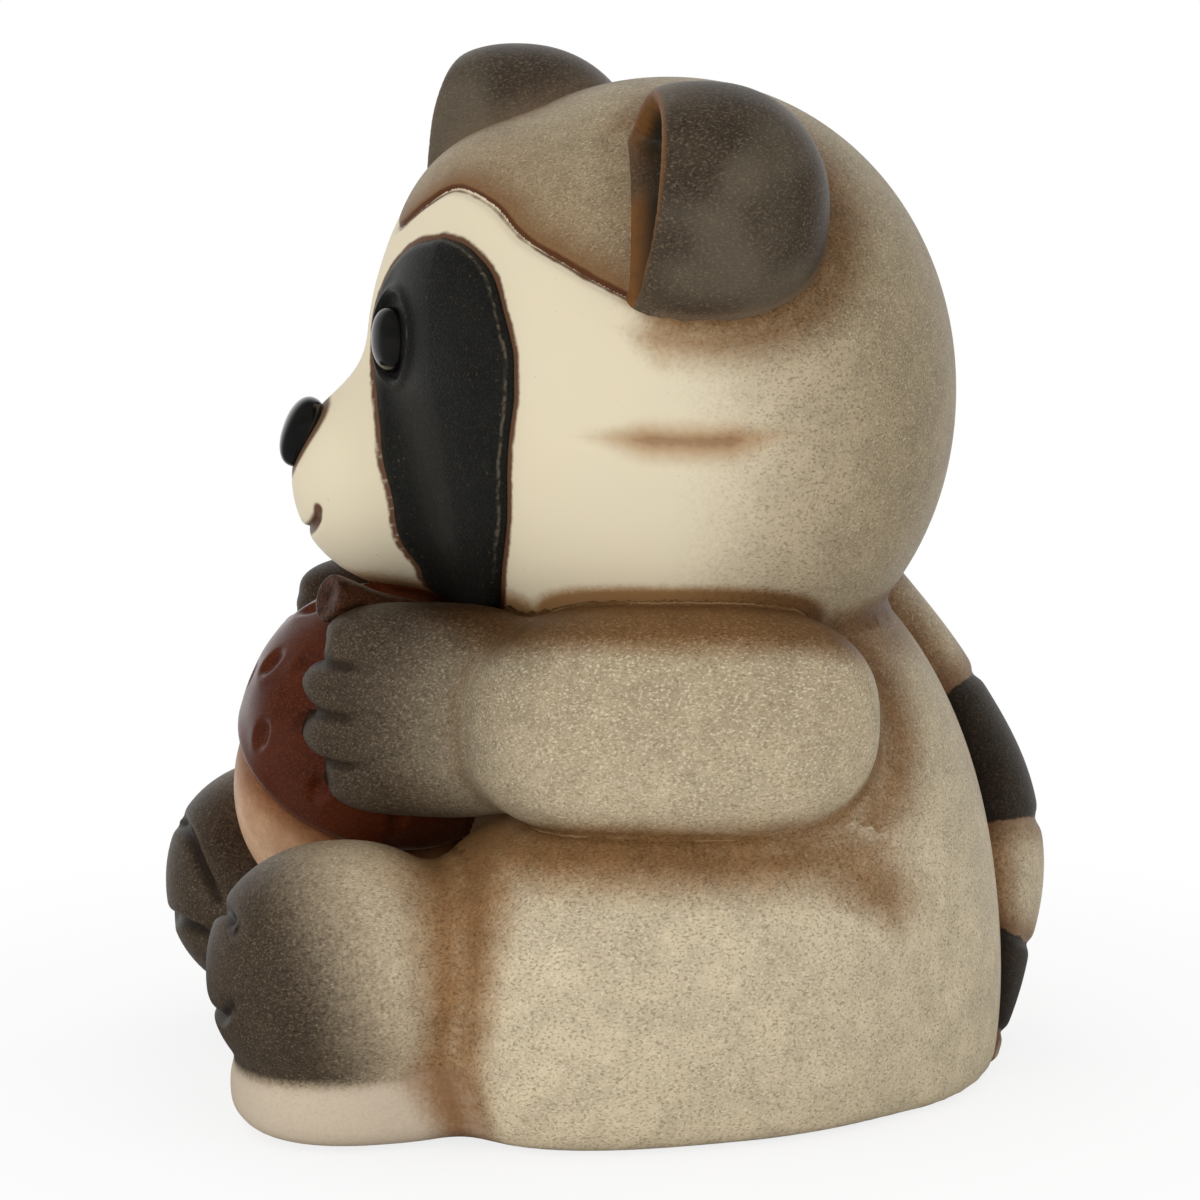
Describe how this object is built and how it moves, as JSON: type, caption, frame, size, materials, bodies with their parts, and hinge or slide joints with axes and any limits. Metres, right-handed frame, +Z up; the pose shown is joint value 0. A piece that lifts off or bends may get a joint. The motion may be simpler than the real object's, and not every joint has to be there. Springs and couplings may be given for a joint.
{
  "type": "raccoon figurine",
  "caption": "Sitting raccoon ornament in glazed ceramic with a black eye mask, cupped ears and a ringed tail, holding a dimpled acorn under its chin, on a flat foot.",
  "frame": {"origin": "point on the flat foot, under the front half of the torso", "axes": "+Z up, -Y the way the raccoon faces, +X to its left"},
  "size_m": [0.0746, 0.0861, 0.0988],
  "materials": {
    "fur_glaze": "satin, speckled stone beige",
    "dark_glaze": "satin, speckled dark brown",
    "mask_black": "satin black",
    "gloss_black": "high gloss black",
    "cap_glaze": "gloss red-brown",
    "nut_glaze": "satin peach"
  },
  "bodies": {
    "root": {"body_shell": "fur_glaze", "head_shell": "fur_glaze", "nose": "gloss_black", "left_eye_patch": "mask_black", "left_eye": "gloss_black", "left_ear": "dark_glaze", "left_thigh": "fur_glaze", "left_foot": "dark_glaze", "left_arm": "fur_glaze", "left_paw": "dark_glaze", "right_eye_patch": "mask_black", "right_eye": "gloss_black", "right_ear": "dark_glaze", "right_thigh": "fur_glaze", "right_foot": "dark_glaze", "right_arm": "fur_glaze", "right_paw": "dark_glaze", "tail": "fur_glaze", "acorn_nut": "nut_glaze", "acorn_cap": "cap_glaze", "acorn_stem": "cap_glaze"}
  },
  "joints": []
}
